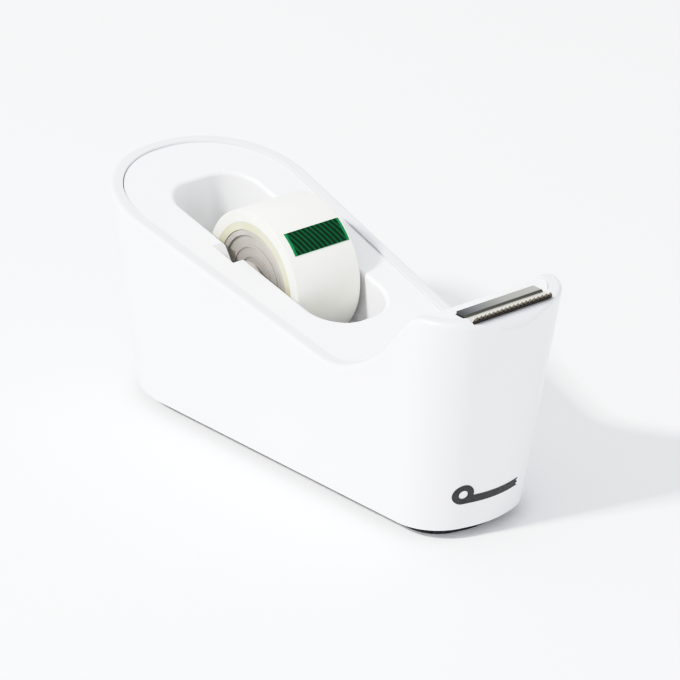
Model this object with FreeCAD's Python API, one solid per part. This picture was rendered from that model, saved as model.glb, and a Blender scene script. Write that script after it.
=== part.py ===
"""Desk tape dispenser with a lift-out tape wheel.  Units are millimetres, +Z is up, +X points to the cutter.

A drafted white shell carries an inset top tray.  The tray's deep well holds the tape wheel, whose axle
rests in two slanted slots.  A screwed base plate closes the shell over two cast ballast blocks, and a
foam pad under it stops the dispenser sliding.  The origin is the middle of the footprint.
"""
import FreeCAD, Part
import math
import os
from FreeCAD import Vector

# Overall plan of the shell, given at PLAN_HEIGHT, narrowing towards the cutter and down to the base
PLAN_HEIGHT = 63.0
PAD_HEIGHT = 3.0
REAR_X = -70.3
NOSE_X = 70.1
HALF_WIDTH = 24.13
SIDE_TAPER = 0.0655
SIDE_DRAFT = 3.63
REAR_DRAFT = 8.5
FRONT_DRAFT = 9.7
REAR_ROUND = 0.905
NOSE_FACET = 14.0
NOSE_RADIUS = 25.0
FRONT_CORNER_RADIUS = 12.5

# Top line of the shell, from the rear to the cutter
TOP_START = Vector(-80.0, 0, 57.43)
REAR_SLOPE = -8.5
REAR_RUN = 10.1
CROWN_RADIUS = 308.0
DECK_TURN = -3.4
DECK_RUN = 75.6
TROUGH_RADIUS = 15.0
TROUGH_TURN = 31.9
SWEEP_RADIUS = 38.0
ARM_TURN = 30.0
ARM_RUN = 9.8
ARM_RADIUS = 8.0
ARM_TOP_RUN = 5.2
NOSE_TOP_RADIUS = 5.0
NOSE_TOP_TURN = -66.0
NOSE_TOP_RUN = 20.0
RIM_FILLET = 1.1
CUT_SPAN = 80.0

# Walls and seams
SHELL_WALL = 3.2
SEAM = 0.2
TRAY_DROP = 0.5
TRAY_THICKNESS = 2.0
LEDGE_WIDTH = 1.8
LEDGE_HEIGHT = 1.6
BASE_THICKNESS = 2.4
PAD_INSET = 4.0

# Tape: a part-used roll of 3/4 inch tape on a 1 inch core
TAPE_WIDTH = 19.05
CORE_BORE_RADIUS = 12.7
CORE_RADIUS = 14.7
ROLL_RADIUS = 17.5
WINDING_GAP = 0.02
TAB_THICKNESS = 0.15
TAB_FROM = 37.8
TAB_TO = 57.5
TAB_Y = (-7.5, 8.8)
WHEEL_X = -17.0
WHEEL_Z = 38.9

# Well for a full roll
WELL_X = (-50.9, 14.3)
WELL_HALF_WIDTH = 12.0
WELL_TAPER = 0.022
WELL_REAR_CORNER = 8.5
WELL_FRONT_CORNER = 9.4
WELL_WALL = 2.0
WELL_FLOOR_Z = 7.5
WELL_FLOOR_RADIUS = 24.0
WELL_LIP = 1.0

# Axle slots in the side walls of the well, slanting up and to the rear
SLOT_LEAN = 34.0
SLOT_RADIUS = 2.9
SLOT_LENGTH = 22.0
SLOT_DEPTH = 3.7
SLOT_WALL = 1.6

# Wheel
AXLE_RADIUS = 2.0
AXLE_HALF_LENGTH = 13.6
CAP_RADIUS = 2.6
CAP_FLANGE_RADIUS = 5.0
CAP_FLANGE_Y = (9.95, 10.9)
CAP_END_Y = 14.6
CAP_FIT = 0.02
HUB_RADIUS = 12.6
HUB_WALL = 1.3
HUB_EDGE_Y = 9.3
HUB_WEB_Y = (7.4, 8.7)
HUB_BORE_RADIUS = 2.05
HUB_BOSS_RADIUS = 4.2
HUB_BOSS_Y = 9.1
HUB_RING_RADII = (6.4, 8.9)
HUB_RING_WIDTH = 0.7
HUB_RING_HEIGHT = 0.25
SPIGOT_LENGTH = 3.0
SPIGOT_WALL = 0.9
SPIGOT_GAP = 0.1

# Cutter blade, in a pocket across the top of the arm
POCKET_X = 59.7
POCKET_FLOOR = 58.5
POCKET_HALF_WIDTH = 11.7
BLADE_HALF_WIDTH = 11.4
BLADE_SECTION = (
    (60.0, 58.5), (60.0, 59.6), (63.0, 59.6), (63.4, 59.15),
    (65.7, 59.0), (66.6, 60.45), (67.0, 60.2), (66.05, 58.5))
LIP_LEAN = 58.0
TOOTH_COUNT = 19
TOOTH_DEPTH = 0.8
TAB_SLOT_GAP = 0.2
BLADE_TAB_X = (61.1, 61.7)
BLADE_TAB_Y = (5.0, 8.0)
BLADE_TAB_BOTTOM = 55.7

# Fixings and ballast
POST_PLACES = ((-39.0, -16.4), (-39.0, 16.4), (47.5, -9.3), (47.5, 9.3))
POST_RADIUS = 2.6
POST_BOTTOM_GAP = 0.05
SCREW_RADIUS = 1.1
SCREW_BORE_GAP = 0.06
SCREW_LENGTH = 12.0
SCREW_HEAD_RADIUS = 2.0
SCREW_HEAD_HEIGHT = 1.2
SCREW_RECESS = 0.1
SCREW_DRIVE_RADIUS = 0.8
SCREW_DRIVE_DEPTH = 0.7
BALLAST_GAP = 0.8
BALLAST_TOP_GAP = 1.2
REAR_BALLAST = ((-55.5, -13.4), (-31.0, 13.4), 23.5)
FRONT_BALLAST = ((-5.0, -12.0), (43.0, 12.0), 31.5)
BALLAST_SCREW_PLACES = ((-50.0, -8.0), (-50.0, 8.0), (14.0, 0.0), (36.0, 0.0))
BALLAST_SCREW_LENGTH = 6.0

# Printed symbol low on the nose: a roll with a strip of tape
MARK_THICKNESS = 0.12
MARK_Z = 12.5
MARK_RING_Y = -8.4
MARK_RING_RADII = (1.1, 2.6)
MARK_STRIP_HEIGHT = 2.0
MARK_STRIP_END_Y = 8.0
MARK_TOOTH = 0.65

BASE_TOP = PAD_HEIGHT + BASE_THICKNESS
WHEEL_CENTRE = Vector(WHEEL_X, 0, WHEEL_Z)


def tangent(degrees):
    return math.tan(math.radians(degrees))


def rounded_wire(corners, z):
    """Closed wire at height z through (x, y, radius) corners, each rounded by a tangent arc."""
    arcs = []
    for index, (x, y, radius) in enumerate(corners):
        here = Vector(x, y, z)
        before = Vector(corners[index - 1][0], corners[index - 1][1], z)
        following = corners[(index + 1) % len(corners)]
        back = (before - here).normalize()
        ahead = (Vector(following[0], following[1], z) - here).normalize()
        half_angle = back.getAngle(ahead) / 2
        reach = radius / math.tan(half_angle)
        depth = radius / math.sin(half_angle) - radius
        middle = here + (back + ahead).normalize() * depth
        arcs.append((here + back * reach, middle, here + ahead * reach))
    edges = []
    for index, (start, middle, end) in enumerate(arcs):
        edges.append(Part.Arc(start, middle, end).toShape())
        edges.append(Part.makeLine(end, arcs[(index + 1) % len(arcs)][0]))
    return Part.Wire(edges)


def half_width(x, z):
    """Half the shell's width between its corners, at a place along it and a height."""
    return HALF_WIDTH - SIDE_TAPER * x - tangent(SIDE_DRAFT) * (PLAN_HEIGHT - z)


def plan_wire(z, inset):
    """The shell's outline at height z, moved inwards by inset."""
    drop = PLAN_HEIGHT - z
    side_inset = inset * math.hypot(1, SIDE_TAPER)
    rear_x = REAR_X + tangent(REAR_DRAFT) * drop + inset
    facet = math.radians(NOSE_FACET)
    nose_x = NOSE_X - tangent(FRONT_DRAFT) * drop - inset
    point_x = nose_x + (NOSE_RADIUS - inset) * (1 / math.cos(facet) - 1)
    rear_y = half_width(rear_x, z) - side_inset
    side_at_point = half_width(point_x, z) - side_inset
    facet_run = side_at_point / (1 - SIDE_TAPER * math.tan(facet))
    corner_x = point_x - facet_run * math.tan(facet)
    corner_y = half_width(corner_x, z) - side_inset
    rear_radius = REAR_ROUND * half_width(REAR_X, z) - inset
    corner_radius = FRONT_CORNER_RADIUS - inset
    corners = (
        (rear_x, rear_y, rear_radius), (rear_x, -rear_y, rear_radius),
        (corner_x, -corner_y, corner_radius), (point_x, 0, NOSE_RADIUS - inset),
        (corner_x, corner_y, corner_radius))
    return rounded_wire(corners, z)


def drafted(inset, low, high):
    """Solid between two heights whose walls run parallel to the shell's, inset from them."""
    return Part.makeLoft([plan_wire(low, inset), plan_wire(high, inset)], True, True)


def heading(degrees):
    angle = math.radians(degrees)
    return Vector(math.cos(angle), 0, math.sin(angle))


def top_edges(lowered):
    """Edges of the shell's top line in the XZ plane, moved down square to itself."""
    level_turn = -(REAR_SLOPE + DECK_TURN + TROUGH_TURN + ARM_TURN)
    runs = (
        (REAR_RUN, 0, 0), (0, CROWN_RADIUS, DECK_TURN), (DECK_RUN, 0, 0),
        (0, TROUGH_RADIUS, TROUGH_TURN), (0, SWEEP_RADIUS, ARM_TURN), (ARM_RUN, 0, 0),
        (0, ARM_RADIUS, level_turn), (ARM_TOP_RUN, 0, 0),
        (0, NOSE_TOP_RADIUS, NOSE_TOP_TURN), (NOSE_TOP_RUN, 0, 0))
    slope = REAR_SLOPE
    point = TOP_START - heading(slope + 90) * lowered
    edges = []
    for length, radius, turn in runs:
        if turn == 0:
            end = point + heading(slope) * length
            edges.append(Part.makeLine(point, end))
        else:
            side = math.copysign(1, turn)
            reach = radius + side * lowered
            centre = point + heading(slope + 90) * side * reach
            middle = centre - heading(slope + turn / 2 + 90) * side * reach
            end = centre - heading(slope + turn + 90) * side * reach
            edges.append(Part.Arc(point, middle, end).toShape())
        point = end
        slope += turn
    return edges


def across(edges):
    """Solid through the whole width whose side view is the closed run of edges."""
    face = Part.Face(Part.Wire(edges))
    face.translate(Vector(0, -CUT_SPAN / 2, 0))
    return face.extrude(Vector(0, CUT_SPAN, 0))


def below_top(lowered):
    """Everything under the top line, with the top line lowered square to itself."""
    edges = top_edges(lowered)
    start = edges[0].Vertexes[0].Point
    end = edges[-1].Vertexes[-1].Point
    floor_end = Vector(end.x, 0, -CUT_SPAN)
    floor_start = Vector(start.x, 0, -CUT_SPAN)
    closing = [
        Part.makeLine(end, floor_end),
        Part.makeLine(floor_end, floor_start),
        Part.makeLine(floor_start, start)]
    return across(edges + closing)


def box(low, high):
    size = Vector(*high) - Vector(*low)
    return Part.makeBox(size.x, size.y, size.z, Vector(*low))


def post(x, y, radius, low, high):
    return Part.makeCylinder(radius, high - low, Vector(x, y, low))


def disc(radius, y_from, y_to):
    """Cylinder about the wheel's axis."""
    return Part.makeCylinder(radius, y_to - y_from, Vector(WHEEL_X, y_from, WHEEL_Z), Vector(0, 1, 0))


def ring(inner, outer, y_from, y_to):
    return disc(outer, y_from, y_to).cut(disc(inner, y_from, y_to))


def mirrored(shape):
    return shape.mirror(Vector(0, 0, 0), Vector(0, 1, 0))


def joined(shapes):
    return shapes[0].multiFuse(list(shapes[1:])).removeSplitter()


def rim_edges(solid):
    """The outer top edges of the shell, where its walls meet the surface under the top line."""
    wall = drafted(0, PAD_HEIGHT, PLAN_HEIGHT)
    sides = Part.makeCompound([face for face in wall.Faces if abs(face.normalAt(0, 0).z) < 0.9])
    surface = Part.makeCompound(top_edges(0))
    chosen = []
    for edge in solid.Edges:
        place = edge.valueAt((edge.FirstParameter + edge.LastParameter) / 2)
        on_side = sides.distToShape(Part.Vertex(place))[0] < 0.01
        on_top = surface.distToShape(Part.Vertex(Vector(place.x, 0, place.z)))[0] < 0.01
        if on_side and on_top:
            chosen.append(edge)
    return chosen


def blade_pocket():
    return box((POCKET_X, -POCKET_HALF_WIDTH, POCKET_FLOOR), (CUT_SPAN, POCKET_HALF_WIDTH, CUT_SPAN))


def tray_ledge():
    """Step round the inside of the shell that the tray sits on."""
    under_tray = TRAY_DROP + TRAY_THICKNESS
    band = below_top(under_tray + SEAM / 2).cut(below_top(under_tray + LEDGE_HEIGHT))
    frame = drafted(SHELL_WALL / 2, PAD_HEIGHT, PLAN_HEIGHT)
    frame = frame.cut(drafted(SHELL_WALL + LEDGE_WIDTH, 0, PLAN_HEIGHT))
    return frame.common(band)


def outer_shell():
    solid = drafted(0, PAD_HEIGHT, PLAN_HEIGHT).common(below_top(0))
    solid = solid.makeFillet(RIM_FILLET, rim_edges(solid))
    shell = solid.cut(drafted(SHELL_WALL, 0, PLAN_HEIGHT))
    return joined([shell, tray_ledge()]).cut(blade_pocket())


def well_half_width(x):
    """Half the well's width, which narrows towards the cutter and is WELL_HALF_WIDTH at its rear end."""
    return WELL_HALF_WIDTH - WELL_TAPER * (x - WELL_X[0])


def well(grow):
    """The space of the tape well, made larger all round by grow."""
    low_x = WELL_X[0] - grow
    high_x = WELL_X[1] + grow
    rear = well_half_width(low_x) + grow
    front = well_half_width(high_x) + grow
    rear_radius = WELL_REAR_CORNER + grow
    front_radius = WELL_FRONT_CORNER + grow
    corners = (
        (low_x, -rear, rear_radius), (high_x, -front, front_radius),
        (high_x, front, front_radius), (low_x, rear, rear_radius))
    column = Part.Face(rounded_wire(corners, 0)).extrude(Vector(0, 0, CUT_SPAN))
    floor_z = WELL_FLOOR_Z - grow
    floor_radius = WELL_FLOOR_RADIUS + grow
    profile = (
        (low_x, floor_z, floor_radius), (high_x, floor_z, floor_radius),
        (high_x, CUT_SPAN, rear_radius), (low_x, CUT_SPAN, rear_radius))
    side_view = rounded_wire(profile, 0)
    side_view.rotate(Vector(0, 0, 0), Vector(1, 0, 0), 90)
    return across(side_view.Edges).common(column)


def axle_slot(radius, y_from, y_to):
    """Round-ended slot from the wheel's axis up and to the rear, between two places across."""
    along = heading(90 + SLOT_LEAN)
    square = heading(SLOT_LEAN)
    start = Vector(WHEEL_X, y_from, WHEEL_Z)
    left = start - square * radius
    right = start + square * radius
    bottom = start - along * radius
    up = along * SLOT_LENGTH
    outline = Part.Wire([
        Part.Arc(left, bottom, right).toShape(), Part.makeLine(right, right + up),
        Part.makeLine(right + up, left + up), Part.makeLine(left + up, left)])
    return Part.Face(outline).extrude(Vector(0, y_to - y_from, 0))


def mouth_edges(tray):
    """Edges where the well breaks through the top of the tray."""
    surface = Part.makeCompound(top_edges(TRAY_DROP))
    chosen = []
    for edge in tray.Edges:
        place = edge.valueAt((edge.FirstParameter + edge.LastParameter) / 2)
        inside = abs(place.y) < WELL_HALF_WIDTH + 0.1 and WELL_X[0] - 0.1 < place.x < WELL_X[1] + 0.1
        on_top = surface.distToShape(Part.Vertex(Vector(place.x, 0, place.z)))[0] < 0.01
        if inside and on_top:
            chosen.append(edge)
    return chosen


def blade_tabs(gap):
    """Two tabs under the blade, made larger by gap for their slots in the tray."""
    low = (BLADE_TAB_X[0] - gap, BLADE_TAB_Y[0] - gap, BLADE_TAB_BOTTOM - gap)
    high = (BLADE_TAB_X[1] + gap, BLADE_TAB_Y[1] + gap, POCKET_FLOOR + gap)
    tab = box(low, high)
    return Part.makeCompound([tab, mirrored(tab)])


def top_tray():
    underside = TRAY_DROP + TRAY_THICKNESS
    body = drafted(SHELL_WALL + SEAM, 0, PLAN_HEIGHT)
    surface = body.common(below_top(TRAY_DROP))
    pieces = [surface.cut(below_top(underside)), well(WELL_WALL).common(below_top(TRAY_DROP + 1))]
    room = below_top(TRAY_DROP + 1).common(body)
    for x, y in POST_PLACES:
        pieces.append(post(x, y, POST_RADIUS, BASE_TOP + POST_BOTTOM_GAP, CUT_SPAN).common(room))
    slot_mouth = well_half_width(WHEEL_X)
    slot_back = slot_mouth + SLOT_DEPTH + SLOT_WALL
    guide = axle_slot(SLOT_RADIUS + SLOT_WALL, slot_mouth + WELL_WALL / 2, slot_back).common(room)
    pieces += [guide, mirrored(guide)]
    tray = joined(pieces).cut(well(0))
    tray = tray.makeFillet(WELL_LIP, mouth_edges(tray))
    slot = axle_slot(SLOT_RADIUS, slot_mouth - 0.5, slot_mouth + SLOT_DEPTH)
    cuts = [slot, mirrored(slot), blade_pocket(), blade_tabs(TAB_SLOT_GAP)]
    bore = SCREW_RADIUS + SCREW_BORE_GAP
    for x, y in POST_PLACES:
        cuts.append(post(x, y, bore, 0, BASE_TOP + SCREW_LENGTH))
    return tray.cut(cuts)


def base_plate():
    """Bottom cover with stepped holes for the screws and their heads."""
    plate = drafted(SHELL_WALL + SEAM, PAD_HEIGHT, BASE_TOP)
    holes = []
    for x, y in POST_PLACES + BALLAST_SCREW_PLACES:
        holes.append(post(x, y, SCREW_RADIUS + 3 * SCREW_BORE_GAP, 0, BASE_TOP + 1))
        holes.append(post(x, y, SCREW_HEAD_RADIUS + SEAM, 0, PAD_HEIGHT + SCREW_RECESS + SCREW_HEAD_HEIGHT))
    return plate.cut(holes)


def non_skid_pad():
    outline = plan_wire(PAD_HEIGHT, PAD_INSET)
    return Part.Face(outline).extrude(Vector(0, 0, -PAD_HEIGHT))


def screw(x, y, length):
    """Pan-head screw pointing up, with a square drive socket in its head."""
    head_low = PAD_HEIGHT + SCREW_RECESS
    head_high = head_low + SCREW_HEAD_HEIGHT
    head = post(x, y, SCREW_HEAD_RADIUS, head_low, head_high)
    shank = post(x, y, SCREW_RADIUS, head_low, head_high + length - SCREW_RADIUS)
    tip_low = Vector(x, y, head_high + length - SCREW_RADIUS)
    tip = Part.makeCone(SCREW_RADIUS, SCREW_RADIUS / 4, SCREW_RADIUS, tip_low)
    drive = box((x - SCREW_DRIVE_RADIUS, y - SCREW_DRIVE_RADIUS, 0),
                (x + SCREW_DRIVE_RADIUS, y + SCREW_DRIVE_RADIUS, head_low + SCREW_DRIVE_DEPTH))
    return joined([head, shank, tip]).cut(drive)


def ballast(block, places):
    """Cast block under the well, hollowed to the well's round floor and tapped for its screws."""
    (low_x, low_y), (high_x, high_y), top = block
    solid = box((low_x, low_y, BASE_TOP), (high_x, high_y, top))
    solid = solid.cut(well(WELL_WALL + BALLAST_GAP))
    solid = solid.common(below_top(TRAY_DROP + TRAY_THICKNESS + BALLAST_TOP_GAP))
    solid = solid.common(drafted(SHELL_WALL + BALLAST_GAP, 0, PLAN_HEIGHT))
    bore = SCREW_RADIUS + SCREW_BORE_GAP
    return solid.cut([post(x, y, bore, 0, BASE_TOP + BALLAST_SCREW_LENGTH) for x, y in places])


def cutter_blade():
    """Steel strip with a flat flange, a channel and a turned-up serrated lip."""
    points = [Vector(x, -BLADE_HALF_WIDTH, z) for x, z in BLADE_SECTION]
    outline = Part.makePolygon(points + points[:1])
    strip = Part.Face(outline).extrude(Vector(0, 2 * BLADE_HALF_WIDTH, 0))
    blade = joined([strip] + blade_tabs(0).Solids)
    along = heading(LIP_LEAN)
    outward = heading(LIP_LEAN - 90)
    tip = Vector(BLADE_SECTION[5][0], 0, BLADE_SECTION[5][1])
    pitch = 2 * BLADE_HALF_WIDTH / TOOTH_COUNT
    gullets = []
    for index in range(TOOTH_COUNT + 1):
        middle = Vector(0, -BLADE_HALF_WIDTH + index * pitch, 0)
        root = tip + middle - along * TOOTH_DEPTH
        side = Vector(0, pitch / 2, 0)
        left = root - side + along * TOOTH_DEPTH
        right = root + side + along * TOOTH_DEPTH
        above = along * TOOTH_DEPTH
        gullet = Part.makePolygon([root, right, right + above, left + above, left, root])
        gullet.translate(outward * -1)
        gullets.append(Part.Face(gullet).extrude(outward * 2))
    return blade.cut(gullets)


def front_mark():
    """Thin printed symbol on the nose: a roll with a strip of tape leaving it."""
    inner, outer = MARK_RING_RADII
    start = Vector(0, MARK_RING_Y, MARK_Z)
    along_x = Vector(1, 0, 0)
    roll = Part.makeCylinder(outer, CUT_SPAN, start, along_x)
    hole = Part.makeCylinder(inner, CUT_SPAN, start, along_x)
    strip_low = MARK_Z - outer
    strip_high = strip_low + MARK_STRIP_HEIGHT
    outline = [
        Vector(0, MARK_RING_Y, strip_low), Vector(0, MARK_STRIP_END_Y, strip_low),
        Vector(0, MARK_STRIP_END_Y - MARK_TOOTH, strip_low + MARK_STRIP_HEIGHT / 4),
        Vector(0, MARK_STRIP_END_Y, strip_low + MARK_STRIP_HEIGHT / 2),
        Vector(0, MARK_STRIP_END_Y - MARK_TOOTH, strip_low + 3 * MARK_STRIP_HEIGHT / 4),
        Vector(0, MARK_STRIP_END_Y, strip_high), Vector(0, MARK_RING_Y, strip_high)]
    strip = Part.Face(Part.makePolygon(outline + outline[:1])).extrude(Vector(CUT_SPAN, 0, 0))
    symbol = joined([roll, strip]).cut(hole)
    skin = drafted(-MARK_THICKNESS, PAD_HEIGHT, PLAN_HEIGHT / 2).cut(drafted(0, 0, PLAN_HEIGHT))
    return skin.common(symbol)


def hub_half():
    """Far half of the hub: barrel, ringed web and bearing boss, up to the middle of the tape."""
    parts = [
        ring(HUB_RADIUS - HUB_WALL, HUB_RADIUS, 0, HUB_EDGE_Y),
        disc(HUB_RADIUS - HUB_WALL / 2, *HUB_WEB_Y),
        disc(HUB_BOSS_RADIUS, 0, HUB_BOSS_Y)]
    for radius in HUB_RING_RADII:
        parts.append(ring(radius - HUB_RING_WIDTH, radius, HUB_WEB_Y[0], HUB_WEB_Y[1] + HUB_RING_HEIGHT))
    return joined(parts).cut(disc(HUB_BORE_RADIUS, -1, TAPE_WIDTH))


def hub_near_half():
    """Near half, with a spigot that plugs into the far half's barrel."""
    spigot_radius = HUB_RADIUS - HUB_WALL - SPIGOT_GAP
    spigot = ring(spigot_radius - SPIGOT_WALL, spigot_radius, -HUB_WEB_Y[0] - 0.5, SPIGOT_LENGTH)
    collar = ring(spigot_radius - SPIGOT_WALL, HUB_RADIUS - HUB_WALL / 2, -HUB_WEB_Y[0] - 0.5, -SPIGOT_LENGTH)
    return joined([mirrored(hub_half()), spigot, collar])


def axle_cap():
    """Far cap: a flanged sleeve pushed over the end of the axle, which runs in the slot."""
    sleeve = joined([disc(CAP_FLANGE_RADIUS, *CAP_FLANGE_Y), disc(CAP_RADIUS, CAP_FLANGE_Y[0], CAP_END_Y)])
    return sleeve.cut(disc(AXLE_RADIUS + CAP_FIT, 0, AXLE_HALF_LENGTH + CAP_FIT))


def start_tab():
    """Paper tab stuck over the free end of the tape, so that it can be found."""
    inner = ROLL_RADIUS + WINDING_GAP
    band = ring(inner, inner + TAB_THICKNESS, *TAB_Y)
    reach = 2 * ROLL_RADIUS
    first = WHEEL_CENTRE + heading(TAB_FROM) * reach
    last = WHEEL_CENTRE + heading(TAB_TO) * reach
    wedge = Part.Face(Part.makePolygon([WHEEL_CENTRE, first, last, WHEEL_CENTRE]))
    wedge.translate(Vector(0, -TAPE_WIDTH, 0))
    return band.common(wedge.extrude(Vector(0, 2 * TAPE_WIDTH, 0)))


def sub_parts():
    half_tape = TAPE_WIDTH / 2
    base_screws = [screw(x, y, SCREW_LENGTH) for x, y in POST_PLACES]
    ballast_screws = [screw(x, y, BALLAST_SCREW_LENGTH) for x, y in BALLAST_SCREW_PLACES]
    return {
        "outer_shell": outer_shell(),
        "top_tray": top_tray(),
        "base_plate": base_plate(),
        "non_skid_pad": non_skid_pad(),
        "rear_ballast": ballast(REAR_BALLAST, BALLAST_SCREW_PLACES[:2]),
        "front_ballast": ballast(FRONT_BALLAST, BALLAST_SCREW_PLACES[2:]),
        "base_screws": Part.makeCompound(base_screws),
        "ballast_screws": Part.makeCompound(ballast_screws),
        "cutter_blade": cutter_blade(),
        "front_mark": front_mark(),
        "axle": disc(AXLE_RADIUS, -AXLE_HALF_LENGTH, AXLE_HALF_LENGTH),
        "near_axle_cap": mirrored(axle_cap()),
        "far_axle_cap": axle_cap(),
        "hub_near_half": hub_near_half(),
        "hub_far_half": hub_half(),
        "tape_core": ring(CORE_BORE_RADIUS, CORE_RADIUS, -half_tape, half_tape),
        "tape_roll": ring(CORE_RADIUS + WINDING_GAP, ROLL_RADIUS, -half_tape, half_tape),
        "start_tab": start_tab()}


os.makedirs("parts", exist_ok=True)
whole = FreeCAD.BoundBox()
for name, shape in sub_parts().items():
    shape.exportStep(f"parts/{name}.step")
    whole.add(shape.optimalBoundingBox())
    print(name, "solids", len(shape.Solids), "valid", shape.isValid(), "cm3", round(shape.Volume / 1000, 2))
print("whole", whole)
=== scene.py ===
"""Looks of the desk tape dispenser.  Metres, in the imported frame: +X towards the cutter, +Z up."""
import math

import bmesh
import bpy
from mathutils import Matrix, Vector

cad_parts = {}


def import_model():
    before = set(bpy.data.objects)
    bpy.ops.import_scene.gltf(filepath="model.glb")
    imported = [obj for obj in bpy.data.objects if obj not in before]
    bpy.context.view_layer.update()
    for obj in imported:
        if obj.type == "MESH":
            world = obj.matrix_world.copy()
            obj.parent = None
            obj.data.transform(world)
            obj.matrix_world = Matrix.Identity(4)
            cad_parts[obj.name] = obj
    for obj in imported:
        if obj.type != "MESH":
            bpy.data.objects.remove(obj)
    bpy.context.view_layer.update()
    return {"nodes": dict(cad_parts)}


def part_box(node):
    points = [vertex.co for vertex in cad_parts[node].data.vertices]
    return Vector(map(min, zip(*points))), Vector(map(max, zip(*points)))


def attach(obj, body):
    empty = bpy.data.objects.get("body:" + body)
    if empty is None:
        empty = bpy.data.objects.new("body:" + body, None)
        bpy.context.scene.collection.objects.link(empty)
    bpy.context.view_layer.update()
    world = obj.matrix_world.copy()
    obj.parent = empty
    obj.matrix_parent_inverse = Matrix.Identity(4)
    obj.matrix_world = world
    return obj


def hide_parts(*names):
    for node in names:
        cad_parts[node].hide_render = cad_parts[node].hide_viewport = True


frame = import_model()
nodes = frame["nodes"]
mm = 0.001

# Camera: a long lens one metre from the dispenser, above its near cutter corner
CAMERA_AZIMUTH = math.radians(51.94)
CAMERA_ELEVATION = math.radians(24.64)
CAMERA_DISTANCE = 1.0
CAMERA_TARGET = Vector((-16.4, 0.0, 33.0)) * mm
AIM_RIGHT = 0.01307
AIM_DOWN = 0.01107
LENS_MM = 220.0
SENSOR_MM = 36.0
WHITE_LEVEL = 1.5
COMBINED = 3
SHOULDER = ((0.3, 0.3), (0.6, 0.59), (0.82, 0.776), (1.3, 0.935))

# Wheel, from the CAD boxes
roll_low, roll_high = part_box("tape_roll")
WHEEL_X = (roll_low[0] + roll_high[0]) / 2
WHEEL_Z = (roll_low[2] + roll_high[2]) / 2
ROLL_RADIUS = (roll_high[0] - roll_low[0]) / 2
HALF_TAPE = (roll_high[1] - roll_low[1]) / 2
core_low, core_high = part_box("tape_core")
CORE_RADIUS = (core_high[0] - core_low[0]) / 2 + 0.02 * mm
ROLL_EDGE = 0.35 * mm
ROLL_STEPS = 240
EDGE_STEPS = 4
END_RIDGES = 9
RIDGE_DEPTH = 0.03 * mm
LAYER_SHARE = 0.02

# Start tab, whose corners give its two angles
tab_low, tab_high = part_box("start_tab")
TAB_THICKNESS = 0.12 * mm
TAB_STEPS = 24
TAB_RADIUS = math.hypot(tab_high[0] - WHEEL_X, tab_low[2] - WHEEL_Z)
TAB_START = math.acos((tab_high[0] - WHEEL_X) / TAB_RADIUS)
TAB_END = math.asin((tab_high[2] - WHEEL_Z) / TAB_RADIUS)
HATCH_LINES = 6.0
BORDER_TRIM = 0.03
BORDER_START = 0.452
BORDER_FULL = 0.468

# Bands of painted shadow, painted highlight and painted reflection across the cutter, as shares of its
# depth from the flange to the lip
FLANGE_END = 0.42
CHANNEL_START = 0.52
CHANNEL_END = 0.80
LIP_START = 0.84

BLACK = (0, 0, 0)
FULL = (1, 1, 1)


# ---------------------------------------------------------------- material helpers

def new_material(name, **sockets):
    """Principled material whose uniform values sit on the shader's own sockets."""
    material = bpy.data.materials.new(name)
    material.use_nodes = True
    shader = material.node_tree.nodes["Principled BSDF"]
    for socket, value in sockets.items():
        shader.inputs[socket.replace("_", " ")].default_value = value
    return material


def shader_of(material):
    return material.node_tree.nodes["Principled BSDF"]


def place(material, stretch=(1, 1, 1)):
    """Object coordinates in metres, stretched by a factor along each axis."""
    tree = material.node_tree
    coordinates = tree.nodes.new("ShaderNodeTexCoord")
    mapping = tree.nodes.new("ShaderNodeMapping")
    mapping.inputs["Scale"].default_value = stretch
    tree.links.new(coordinates.outputs["Object"], mapping.inputs["Vector"])
    return mapping.outputs["Vector"]


def noise(material, size_mm, detail=3.0, roughness=0.5, stretch=(1, 1, 1)):
    """Noise whose blotches are about size_mm across."""
    tree = material.node_tree
    node = tree.nodes.new("ShaderNodeTexNoise")
    node.inputs["Scale"].default_value = 1 / (size_mm * mm)
    node.inputs["Detail"].default_value = detail
    node.inputs["Roughness"].default_value = roughness
    tree.links.new(place(material, stretch), node.inputs["Vector"])
    return node.outputs["Fac"]


def cells(material, size_mm):
    """Distance to the nearest cell point, for foam."""
    tree = material.node_tree
    node = tree.nodes.new("ShaderNodeTexVoronoi")
    node.inputs["Scale"].default_value = 1 / (size_mm * mm)
    tree.links.new(place(material), node.inputs["Vector"])
    return node.outputs["Distance"]


def ramp(material, factor, stops):
    """Colour ramp through (position, colour) stops."""
    tree = material.node_tree
    node = tree.nodes.new("ShaderNodeValToRGB")
    elements = node.color_ramp.elements
    while len(elements) < len(stops):
        elements.new(0.5)
    for element, (position, colour) in zip(elements, stops):
        element.position = position
        element.color = (*colour, 1)
    tree.links.new(factor, node.inputs["Fac"])
    return node.outputs["Color"]


def spread(material, factor, low, high, start=0.3, stop=0.7):
    """Maps a factor between start and stop to a range of values."""
    tree = material.node_tree
    node = tree.nodes.new("ShaderNodeMapRange")
    node.inputs["From Min"].default_value = start
    node.inputs["From Max"].default_value = stop
    node.inputs["To Min"].default_value = low
    node.inputs["To Max"].default_value = high
    tree.links.new(factor, node.inputs["Value"])
    return node.outputs["Result"]


def colour(material, output):
    material.node_tree.links.new(output, shader_of(material).inputs["Base Color"])


def rough(material, output):
    material.node_tree.links.new(output, shader_of(material).inputs["Roughness"])


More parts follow.
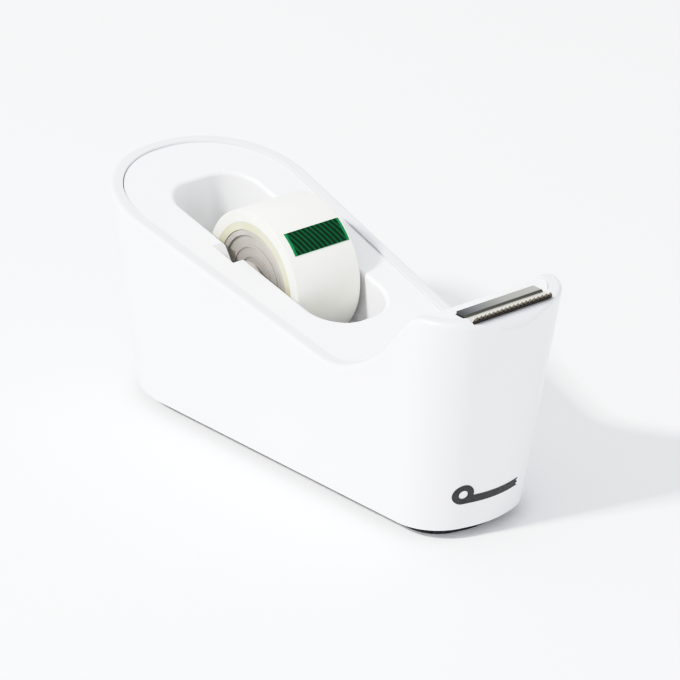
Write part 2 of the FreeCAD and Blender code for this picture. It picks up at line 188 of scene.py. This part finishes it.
def bump(material, height, depth_mm, strength=1.0):
    """Adds a bump of the given depth, over any bump already there."""
    tree = material.node_tree
    node = tree.nodes.new("ShaderNodeBump")
    node.inputs["Distance"].default_value = depth_mm * mm
    node.inputs["Strength"].default_value = strength
    tree.links.new(height, node.inputs["Height"])
    normal = shader_of(material).inputs["Normal"]
    if normal.links:
        tree.links.new(normal.links[0].from_socket, node.inputs["Normal"])
    tree.links.new(node.outputs["Normal"], normal)


def math_node(material, operation, *values):
    """Math node fed with outputs or plain numbers."""
    tree = material.node_tree
    node = tree.nodes.new("ShaderNodeMath")
    node.operation = operation
    for socket, value in zip(node.inputs, values):
        if isinstance(value, (int, float)):
            socket.default_value = value
        else:
            tree.links.new(value, socket)
    return node.outputs[0]


def axes_of(material, source):
    """The three coordinates of the chosen kind, one output each."""
    tree = material.node_tree
    coordinates = tree.nodes.new("ShaderNodeTexCoord")
    split = tree.nodes.new("ShaderNodeSeparateXYZ")
    tree.links.new(coordinates.outputs[source], split.inputs[0])
    return split.outputs


def blended(material, factor, first, second):
    """Mixes two colour outputs by a factor."""
    tree = material.node_tree
    node = tree.nodes.new("ShaderNodeMixRGB")
    tree.links.new(factor, node.inputs["Fac"])
    tree.links.new(first, node.inputs["Color1"])
    tree.links.new(second, node.inputs["Color2"])
    return node.outputs["Color"]


# ---------------------------------------------------------------- materials

def moulded_plastic(name, light, dark, roughness):
    """White moulded plastic: faint flow shading, fine spark-eroded grain and a slight ripple."""
    material = new_material(name, Specular_IOR_Level=0.5)
    colour(material, ramp(material, noise(material, 35, 2), [(0.35, dark), (0.65, light)]))
    rough(material, spread(material, noise(material, 6, 4), roughness - 0.04, roughness + 0.05))
    bump(material, noise(material, 0.35, 2), 0.006, 0.5)
    bump(material, noise(material, 14, 1), 0.03, 0.3)
    return material


def steel(name, light, dark, roughness, stretch):
    """Drawn or rolled steel with fine scratches along one direction."""
    material = new_material(name, Metallic=1.0)
    grain = noise(material, 0.5, 4, 0.6, stretch)
    colour(material, ramp(material, grain, [(0.3, dark), (0.7, light)]))
    rough(material, spread(material, grain, roughness - 0.06, roughness + 0.1))
    bump(material, grain, 0.004, 0.6)
    return material


def black_foam():
    material = new_material("black_foam", Specular_IOR_Level=0.25)
    pores = cells(material, 0.7)
    colour(material, ramp(material, pores, [(0.1, (0.004, 0.004, 0.004)), (0.7, (0.03, 0.03, 0.032))]))
    rough(material, spread(material, noise(material, 3), 0.8, 0.95))
    bump(material, pores, 0.15, 0.8)
    return material


def cast_iron():
    material = new_material("cast_iron", Metallic=0.6)
    grain = noise(material, 1.2, 5, 0.65)
    colour(material, ramp(material, grain, [(0.3, (0.05, 0.048, 0.045)), (0.7, (0.16, 0.155, 0.15))]))
    rough(material, spread(material, grain, 0.55, 0.8))
    bump(material, grain, 0.12, 0.8)
    return material


def frosted_tape():
    """Matte film wound up: pale ivory and slightly cloudy, with painted shade that makes its two end
    faces a little darker.
    """
    material = new_material("tape_film", Specular_IOR_Level=0.4, Subsurface_Weight=0.15,
                            Subsurface_Scale=0.001)
    face = ramp(material, noise(material, 9, 3), [
        (0.3, (0.945, 0.94, 0.85)), (0.7, (0.965, 0.96, 0.885))])
    # Painted shade: the two end faces of the roll are coloured darker than its wound outer face.
    painted_shade_ends = ramp(material, noise(material, 2.5, 4), [
        (0.3, (0.78, 0.775, 0.70)), (0.7, (0.85, 0.845, 0.775))])
    from_middle = math_node(material, "ABSOLUTE", axes_of(material, "Object")[1])
    at_end = spread(material, from_middle, 0, 1, HALF_TAPE - ROLL_EDGE, HALF_TAPE - ROLL_EDGE / 2)
    colour(material, blended(material, at_end, face, painted_shade_ends))
    rough(material, spread(material, noise(material, 5, 3), 0.32, 0.48))
    bump(material, noise(material, 0.25, 3), 0.004, 0.5)
    return material


def tinted_plastic(name, light, dark, roughness):
    material = new_material(name, Subsurface_Weight=0.1, Subsurface_Scale=0.002)
    colour(material, ramp(material, noise(material, 6, 3), [(0.3, dark), (0.7, light)]))
    rough(material, spread(material, noise(material, 4, 3), roughness - 0.05, roughness + 0.08))
    bump(material, noise(material, 0.4, 2), 0.005, 0.5)
    return material


def printed_ink():
    material = new_material("black_ink", Specular_IOR_Level=0.4)
    colour(material, ramp(material, noise(material, 1.5, 4), [
        (0.3, (0.008, 0.008, 0.009)), (0.7, (0.022, 0.022, 0.024))]))
    rough(material, spread(material, noise(material, 1, 3), 0.4, 0.6))
    return material


def green_paper():
    """Printed paper: dark green diagonal hatching inside a brighter green border."""
    material = new_material("green_paper", Specular_IOR_Level=0.06)
    u, v, _ = axes_of(material, "UV")
    from_middle = []
    for side in (u, v):
        offset = math_node(material, "SUBTRACT", side, 0.5)
        from_middle.append(math_node(material, "ABSOLUTE", offset))
    narrowed = math_node(material, "ADD", from_middle[1], -BORDER_TRIM)
    to_edge = math_node(material, "MAXIMUM", from_middle[0], narrowed)
    slant = math_node(material, "ADD", math_node(material, "MULTIPLY", u, HATCH_LINES), v)
    wave = math_node(material, "PINGPONG", math_node(material, "MULTIPLY", slant, 4.0), 1.0)
    speckle = noise(material, 0.5, 4, 0.6)
    hatch = math_node(material, "ADD", math_node(material, "MULTIPLY", wave, 0.7),
                      math_node(material, "MULTIPLY", speckle, 0.5))
    inside = ramp(material, hatch, [
        (0.35, (0.001, 0.012, 0.004)), (0.6, (0.002, 0.036, 0.011)), (0.95, (0.003, 0.11, 0.035))])
    border = ramp(material, speckle, [(0.3, (0.004, 0.16, 0.05)), (0.7, (0.01, 0.30, 0.10))])
    edge = ramp(material, to_edge, [(BORDER_START, BLACK), (BORDER_FULL, FULL)])
    colour(material, blended(material, edge, inside, border))
    rough(material, spread(material, speckle, 0.6, 0.8))
    bump(material, noise(material, 0.3, 3), 0.004, 0.4)
    return material


def cutter_steel_painted_light():
    """Stamped strip painted with light: a painted reflection on the flange that lightens along its
    length, a painted shadow at its step, a painted highlight down the channel and a dark painted
    reflection on the lip.
    """
    material = new_material("cutter_steel_painted_light", Metallic=1.0)
    low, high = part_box("cutter_blade")
    x, y, _ = axes_of(material, "Object")
    grain = noise(material, 0.25, 4, 0.6, (1, 0.06, 1))
    across = math_node(material, "DIVIDE", math_node(material, "SUBTRACT", x, low[0]), high[0] - low[0])
    along = math_node(material, "DIVIDE", math_node(material, "SUBTRACT", y, low[1]), high[1] - low[1])
    across = math_node(material, "ADD", across, math_node(material, "MULTIPLY", grain, 0.03))
    along = math_node(material, "ADD", along, math_node(material, "MULTIPLY", grain, 0.1))
    # Painted reflection: the flange is painted dark at its near end and lighter towards its far end.
    flange_painted_reflection = ramp(material, along, [
        (0.03, (0.06, 0.06, 0.065)), (0.2, (0.24, 0.24, 0.25)), (0.6, (0.55, 0.55, 0.50)),
        (1.0, (0.66, 0.65, 0.59))])
    # Painted shadow at the step, a painted highlight down the channel and a dark painted reflection on
    # the lip.
    painted_light_bands = ramp(material, across, [
        (FLANGE_END, (0.09, 0.085, 0.07)), (CHANNEL_START - 0.03, (0.12, 0.12, 0.10)),
        (CHANNEL_START, (1.0, 0.98, 0.90)), (CHANNEL_END, (0.98, 0.95, 0.85)),
        (LIP_START, (0.06, 0.055, 0.042)), (1.0, (0.035, 0.03, 0.023))])
    past_flange = ramp(material, across, [(FLANGE_END - 0.02, BLACK), (FLANGE_END, FULL)])
    colour(material, blended(material, past_flange, flange_painted_reflection, painted_light_bands))
    rough(material, spread(material, grain, 0.26, 0.42))
    bump(material, grain, 0.003, 0.5)
    return material


# The shell and the tray are one white plastic; the shell's white is set darker than the tray's as
# painted shade on the dispenser's sides.
shaded_shell_white = moulded_plastic("white_shell", (0.825, 0.825, 0.84), (0.805, 0.805, 0.825), 0.34)
tray_white = moulded_plastic("white_tray", (0.955, 0.955, 0.965), (0.945, 0.945, 0.955), 0.40)
base_plastic = moulded_plastic("base_plastic", (0.7, 0.7, 0.71), (0.66, 0.66, 0.67), 0.5)
screw_steel = steel("screw_steel", (0.7, 0.7, 0.68), (0.5, 0.5, 0.48), 0.3, (1, 1, 1))
axle_steel = steel("axle_steel", (0.7, 0.7, 0.7), (0.5, 0.5, 0.5), 0.25, (1, 0.1, 1))
hub_plastic = tinted_plastic("hub_plastic", (0.48, 0.455, 0.42), (0.41, 0.385, 0.35), 0.34)
core_plastic = tinted_plastic("core_plastic", (0.62, 0.595, 0.45), (0.55, 0.525, 0.38), 0.45)
cap_plastic = tinted_plastic("cap_plastic", (0.54, 0.51, 0.48), (0.46, 0.43, 0.40), 0.4)

FINISHES = {
    "outer_shell": shaded_shell_white, "top_tray": tray_white, "base_plate": base_plastic,
    "rear_ballast": cast_iron(), "front_ballast": cast_iron(),
    "base_screws": screw_steel, "ballast_screws": screw_steel,
    "front_mark": printed_ink(), "axle": axle_steel, "near_axle_cap": cap_plastic,
    "far_axle_cap": cap_plastic, "hub_near_half": hub_plastic, "hub_far_half": hub_plastic,
    "tape_core": core_plastic}

for name, material in FINISHES.items():
    node = nodes[name]
    node.data.materials.clear()
    node.data.materials.append(material)


# ---------------------------------------------------------------- modelled pieces

def finished(piece, material, body, node):
    """Gives a new piece its material and its body, and hides the CAD node that it stands for."""
    piece.data.materials.clear()
    piece.data.materials.append(material)
    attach(piece, body)
    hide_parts(node)


def new_piece(name, mesh_builder):
    mesh = bpy.data.meshes.new(name)
    mesh_builder.normal_update()
    mesh_builder.to_mesh(mesh)
    mesh_builder.free()
    piece = bpy.data.objects.new(name, mesh)
    bpy.context.collection.objects.link(piece)
    return piece


def smooth(piece, degrees):
    """Smooth shading, apart from edges sharper than an angle."""
    piece.data.shade_smooth()
    piece.data.set_sharp_from_angle(angle=math.radians(degrees))


def softened(node, name, width, segments):
    """Copy of a CAD node with its sharp edges rounded over."""
    piece = bpy.data.objects.new(name, nodes[node].data.copy())
    bpy.context.collection.objects.link(piece)
    bevel = piece.modifiers.new("edges", "BEVEL")
    bevel.width = width
    bevel.segments = segments
    bevel.limit_method = "ANGLE"
    bevel.angle_limit = math.radians(35)
    bpy.context.view_layer.objects.active = piece
    bpy.ops.object.modifier_apply(modifier=bevel.name)
    smooth(piece, 50)
    return piece


def wheel_place(angle, radius, y):
    """Point about the wheel's axis, at an angle up from +X."""
    return Vector((WHEEL_X + radius * math.cos(angle), y, WHEEL_Z + radius * math.sin(angle)))


def roll_profile():
    """Closed section of the wound tape, as (radius, y): finely ridged ends and rounded edges."""
    ridges = [(CORE_RADIUS, 0.0)]
    pitch = (ROLL_RADIUS - ROLL_EDGE - CORE_RADIUS) / END_RIDGES
    for index in range(END_RIDGES):
        start = CORE_RADIUS + index * pitch
        ridges += [(start + pitch * 0.35, RIDGE_DEPTH * (1 + index % 3)), (start + pitch * 0.85, 0.0)]
    edge = []
    for step in range(EDGE_STEPS + 1):
        turn = math.radians(90 * step / EDGE_STEPS)
        edge.append((ROLL_RADIUS - ROLL_EDGE * (1 - math.sin(turn)), ROLL_EDGE * (1 - math.cos(turn))))
    side = ridges + edge
    near = [(radius, -HALF_TAPE + sunk) for radius, sunk in side]
    far = [(radius, HALF_TAPE - sunk) for radius, sunk in reversed(side)]
    return near + far


def tape_roll():
    """Wound tape whose last layer ends in a small step, under the start tab."""
    builder = bmesh.new()
    profile = roll_profile()
    loops = []
    for step in range(ROLL_STEPS):
        share = step / (ROLL_STEPS - 1)
        angle = TAB_END - share * 2 * math.pi
        growth = 1 - (1 - share) * LAYER_SHARE
        loop = []
        for radius, y in profile:
            grown = CORE_RADIUS + (radius - CORE_RADIUS) * growth
            loop.append(builder.verts.new(wheel_place(angle, grown, y)))
        loops.append(loop)
    for first, second in zip(loops, loops[1:] + loops[:1]):
        for index in range(len(profile)):
            after = (index + 1) % len(profile)
            builder.faces.new((first[index], first[after], second[after], second[index]))
    bmesh.ops.recalc_face_normals(builder, faces=builder.faces)
    piece = new_piece("wound_tape", builder)
    smooth(piece, 40)
    finished(piece, frosted_tape(), "tape_wheel", "tape_roll")


def start_tab():
    """Paper tab bent over the roll, with a printed pattern laid out by its UVs."""
    builder = bmesh.new()
    layer = builder.loops.layers.uv.new("pattern")
    low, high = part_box("start_tab")
    rows = []
    for row in range(TAB_STEPS + 1):
        angle = TAB_START + (TAB_END - TAB_START) * row / TAB_STEPS
        line = []
        for column in range(TAB_STEPS + 1):
            y = low[1] + (high[1] - low[1]) * column / TAB_STEPS
            line.append(builder.verts.new(wheel_place(angle, TAB_RADIUS - TAB_THICKNESS / 2, y)))
        rows.append(line)
    for row in range(TAB_STEPS):
        for column in range(TAB_STEPS):
            face = builder.faces.new((rows[row][column], rows[row][column + 1],
                                      rows[row + 1][column + 1], rows[row + 1][column]))
            corners = ((column, row), (column + 1, row), (column + 1, row + 1), (column, row + 1))
            for loop, (u, v) in zip(face.loops, corners):
                loop[layer].uv = (u / TAB_STEPS, v / TAB_STEPS)
    piece = new_piece("start_tab_paper", builder)
    thicken = piece.modifiers.new("thickness", "SOLIDIFY")
    thicken.thickness = TAB_THICKNESS
    thicken.offset = 0
    bpy.context.view_layer.objects.active = piece
    bpy.ops.object.modifier_apply(modifier=thicken.name)
    smooth(piece, 40)
    finished(piece, green_paper(), "tape_wheel", "start_tab")


tape_roll()
start_tab()
finished(softened("cutter_blade", "cutter_strip", 0.05 * mm, 2), cutter_steel_painted_light(),
         "housing", "cutter_blade")
finished(softened("non_skid_pad", "foam_pad", 0.5 * mm, 3), black_foam(),
         "housing", "non_skid_pad")


# ---------------------------------------------------------------- floor, lights and camera

def floor():
    bpy.ops.mesh.primitive_plane_add(size=6.0, location=(0, 0, 0))
    plane = bpy.context.object
    plane.name = "floor"
    material = new_material("pale_floor", Roughness=0.8)
    colour(material, ramp(material, noise(material, 200, 2), [
        (0.3, (0.965, 0.965, 0.965)), (0.7, (0.98, 0.98, 0.98))]))
    plane.data.materials.append(material)


def area_light(name, azimuth, elevation, distance, size, power):
    """Soft square light that points at the dispenser.  Azimuth as for the camera."""
    light = bpy.data.lights.new(name, "AREA")
    light.size = size
    light.energy = power
    lamp = bpy.data.objects.new(name, light)
    bpy.context.collection.objects.link(lamp)
    a, e = math.radians(azimuth), math.radians(elevation)
    back = Vector((math.sin(a) * math.cos(e), -math.cos(a) * math.cos(e), math.sin(e)))
    lamp.location = CAMERA_TARGET + back * distance
    lamp.rotation_euler = back.to_track_quat("Z", "Y").to_euler()


def camera():
    """Camera aimed so that the dispenser stands left of and above the middle of the picture."""
    a, e = CAMERA_AZIMUTH, CAMERA_ELEVATION
    back = Vector((math.sin(a) * math.cos(e), -math.cos(a) * math.cos(e), math.sin(e)))
    right = Vector((math.cos(a), math.sin(a), 0))
    up = back.cross(right)
    aim = (-back + right * AIM_RIGHT - up * AIM_DOWN).normalized()
    level = Matrix((right, up, back)).transposed().to_quaternion()
    data = bpy.data.cameras.new("camera")
    data.lens = LENS_MM
    data.sensor_width = SENSOR_MM
    data.clip_start = 0.05
    data.clip_end = 20.0
    eye = bpy.data.objects.new("camera", data)
    eye.rotation_mode = "QUATERNION"
    eye.location = CAMERA_TARGET + back * CAMERA_DISTANCE
    eye.rotation_quaternion = (-back).rotation_difference(aim) @ level
    bpy.context.collection.objects.link(eye)
    bpy.context.scene.camera = eye


def world():
    background = bpy.data.worlds.new("studio")
    background.use_nodes = True
    shader = background.node_tree.nodes["Background"]
    shader.inputs["Color"].default_value = (0.95, 0.97, 1.0, 1)
    shader.inputs["Strength"].default_value = 0.84
    bpy.context.scene.world = background


def tone_curve():
    """Gentle shoulder, so that well lit white plastic keeps its shading."""
    view = bpy.context.scene.view_settings
    view.view_transform = "Standard"
    view.use_curve_mapping = True
    curve = view.curve_mapping
    curve.white_level = (WHITE_LEVEL, WHITE_LEVEL, WHITE_LEVEL)
    for scene_light, shown in SHOULDER:
        curve.curves[COMBINED].points.new(scene_light / WHITE_LEVEL, shown)
    curve.update()


floor()
world()
area_light("key", azimuth=-6, elevation=42, distance=3.0, size=0.3, power=67.0)
area_light("top", azimuth=-60, elevation=80, distance=1.3, size=1.0, power=1.0)
camera()
tone_curve()
